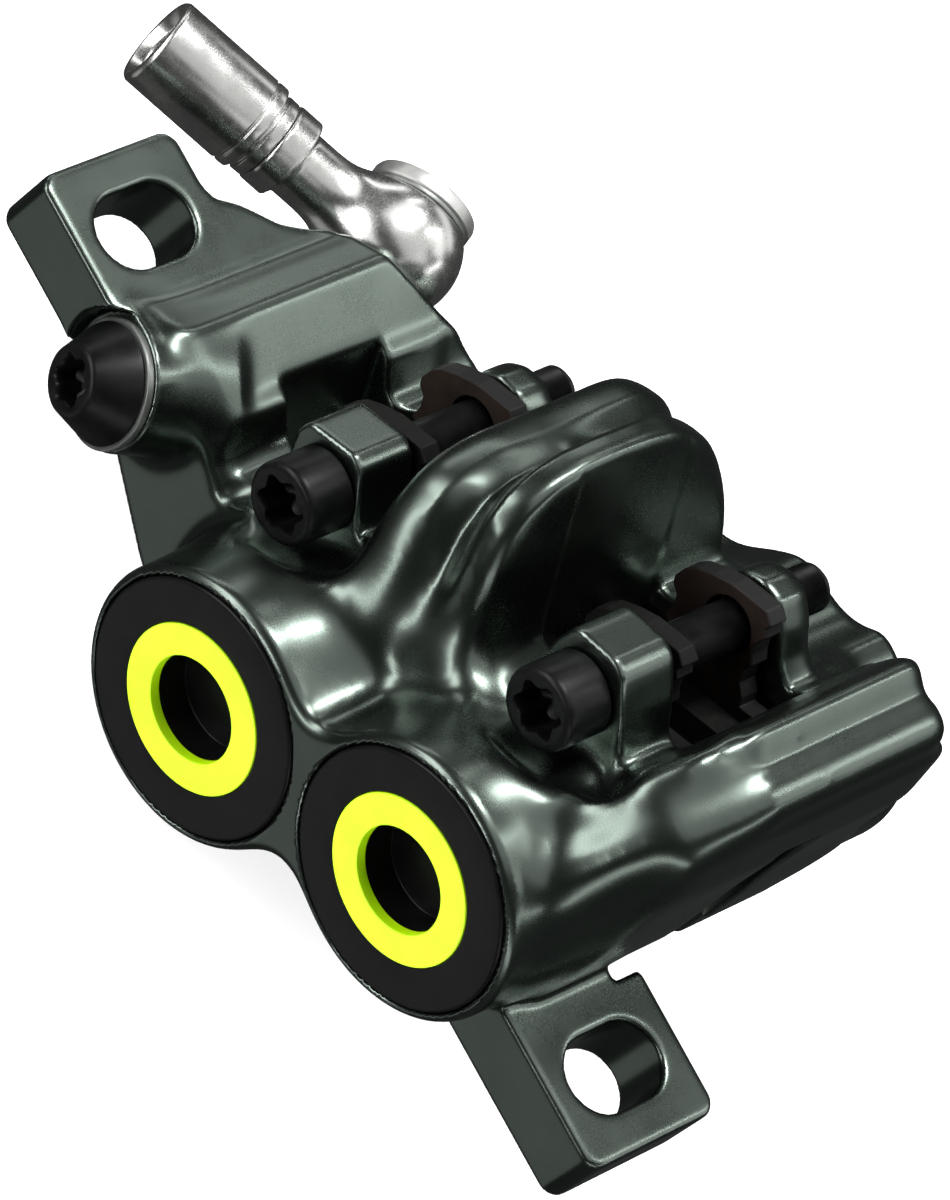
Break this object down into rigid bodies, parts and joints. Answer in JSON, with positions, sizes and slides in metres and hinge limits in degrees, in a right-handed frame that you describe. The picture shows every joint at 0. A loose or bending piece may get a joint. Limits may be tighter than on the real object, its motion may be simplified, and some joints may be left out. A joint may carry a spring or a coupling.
{
  "type": "bicycle disc brake caliper",
  "caption": "Fixed hydraulic disc brake caliper for a bicycle: opposed pistons and hanging pads in a post-mount body, with a banjo hose fitting and a bleed screw.",
  "frame": {"origin": "midway between the two mounting slots, on the lugs' mounting face", "axes": "+X along the slot line towards the front lug, +Y inboard along the axle of the rotor, +Z away from the posts"},
  "size_m": [0.0965, 0.0455, 0.046],
  "materials": {
    "body": "dark green-grey anodised, satin",
    "black_alu": "black anodised, satin",
    "accent": "neon yellow-green, satin",
    "seal": "matt",
    "piston": "phenolic, ground",
    "magnet": "plated",
    "plate": "dark brown, baked",
    "friction": "pressed friction compound",
    "black_steel": "black oxide, satin",
    "washer": "turned",
    "fitting": "stainless steel, turned and polished"
  },
  "bodies": {
    "caliper": {"caliper_body": "body", "bore_cap_rear": "black_alu", "bore_cap_front": "black_alu", "accent_ring_rear": "accent", "accent_ring_front": "accent", "cap_seal_rear": "seal", "cap_seal_front": "seal", "piston_seal_outboard_rear": "seal", "piston_seal_outboard_front": "seal", "piston_seal_inboard_rear": "seal", "piston_seal_inboard_front": "seal", "bleed_washer": "washer", "banjo_bolt": "fitting", "banjo_washers": "washer"},
    "piston_outboard_rear": {"piston_outboard_rear": "piston", "piston_magnet_outboard_rear": "magnet"},
    "pad_outboard_rear": {"backing_plate_outboard_rear": "plate", "friction_pad_outboard_rear": "friction"},
    "piston_outboard_front": {"piston_outboard_front": "piston", "piston_magnet_outboard_front": "magnet"},
    "pad_outboard_front": {"backing_plate_outboard_front": "plate", "friction_pad_outboard_front": "friction"},
    "piston_inboard_rear": {"piston_inboard_rear": "piston", "piston_magnet_inboard_rear": "magnet"},
    "pad_inboard_rear": {"backing_plate_inboard_rear": "plate", "friction_pad_inboard_rear": "friction"},
    "piston_inboard_front": {"piston_inboard_front": "piston", "piston_magnet_inboard_front": "magnet"},
    "pad_inboard_front": {"backing_plate_inboard_front": "plate", "friction_pad_inboard_front": "friction"},
    "axle_rear": {"pad_axle_screw_rear": "black_steel"},
    "axle_front": {"pad_axle_screw_front": "black_steel"},
    "bleeder": {"bleed_screw": "black_steel"},
    "banjo": {"banjo_fitting": "fitting", "hose_sleeve": "fitting"}
  },
  "joints": [
    {"name": "piston_advance_outboard_rear", "type": "slide", "parent": "caliper", "child": "piston_outboard_rear", "axis": [0, 1, 0], "range_m": [0, 0.0013], "stiffness_N_per_m": 400},
    {"name": "pad_advance_outboard_rear", "type": "slide", "parent": "caliper", "child": "pad_outboard_rear", "axis": [0, 1, 0], "range_m": [0, 0.0013]},
    {"name": "piston_advance_outboard_front", "type": "slide", "parent": "caliper", "child": "piston_outboard_front", "axis": [0, 1, 0], "range_m": [0, 0.0013]},
    {"name": "pad_advance_outboard_front", "type": "slide", "parent": "caliper", "child": "pad_outboard_front", "axis": [0, 1, 0], "range_m": [0, 0.0013]},
    {"name": "piston_advance_inboard_rear", "type": "slide", "parent": "caliper", "child": "piston_inboard_rear", "axis": [0, -1, 0], "range_m": [0, 0.0013]},
    {"name": "pad_advance_inboard_rear", "type": "slide", "parent": "caliper", "child": "pad_inboard_rear", "axis": [0, -1, 0], "range_m": [0, 0.0013]},
    {"name": "piston_advance_inboard_front", "type": "slide", "parent": "caliper", "child": "piston_inboard_front", "axis": [0, -1, 0], "range_m": [0, 0.0013]},
    {"name": "pad_advance_inboard_front", "type": "slide", "parent": "caliper", "child": "pad_inboard_front", "axis": [0, -1, 0], "range_m": [0, 0.0013]},
    {"name": "pad_axle_withdraw_rear", "type": "slide", "parent": "caliper", "child": "axle_rear", "axis": [0, -1, 0], "range_m": [0, 0.027]},
    {"name": "pad_axle_withdraw_front", "type": "slide", "parent": "caliper", "child": "axle_front", "axis": [0, -1, 0], "range_m": [0, 0.027]},
    {"name": "bleed_screw_withdraw", "type": "slide", "parent": "caliper", "child": "bleeder", "axis": [-0.3505, -0.9312, 0.1001], "range_m": [0, 0.009]},
    {"name": "banjo_swivel", "type": "hinge", "parent": "caliper", "child": "banjo", "pos_m": [-0.0291, 0.02436, 0.00258], "axis": [-0.4397, 0.8474, 0.2978], "range_deg": [-30, 45]}
  ],
  "couplings": [
    {"joint": "pad_advance_outboard_rear", "follows": "piston_advance_outboard_rear", "ratio": 1},
    {"joint": "piston_advance_outboard_front", "follows": "piston_advance_outboard_rear", "ratio": 1},
    {"joint": "pad_advance_outboard_front", "follows": "piston_advance_outboard_rear", "ratio": 1},
    {"joint": "piston_advance_inboard_rear", "follows": "piston_advance_outboard_rear", "ratio": 1},
    {"joint": "pad_advance_inboard_rear", "follows": "piston_advance_outboard_rear", "ratio": 1},
    {"joint": "piston_advance_inboard_front", "follows": "piston_advance_outboard_rear", "ratio": 1},
    {"joint": "pad_advance_inboard_front", "follows": "piston_advance_outboard_rear", "ratio": 1}
  ]
}
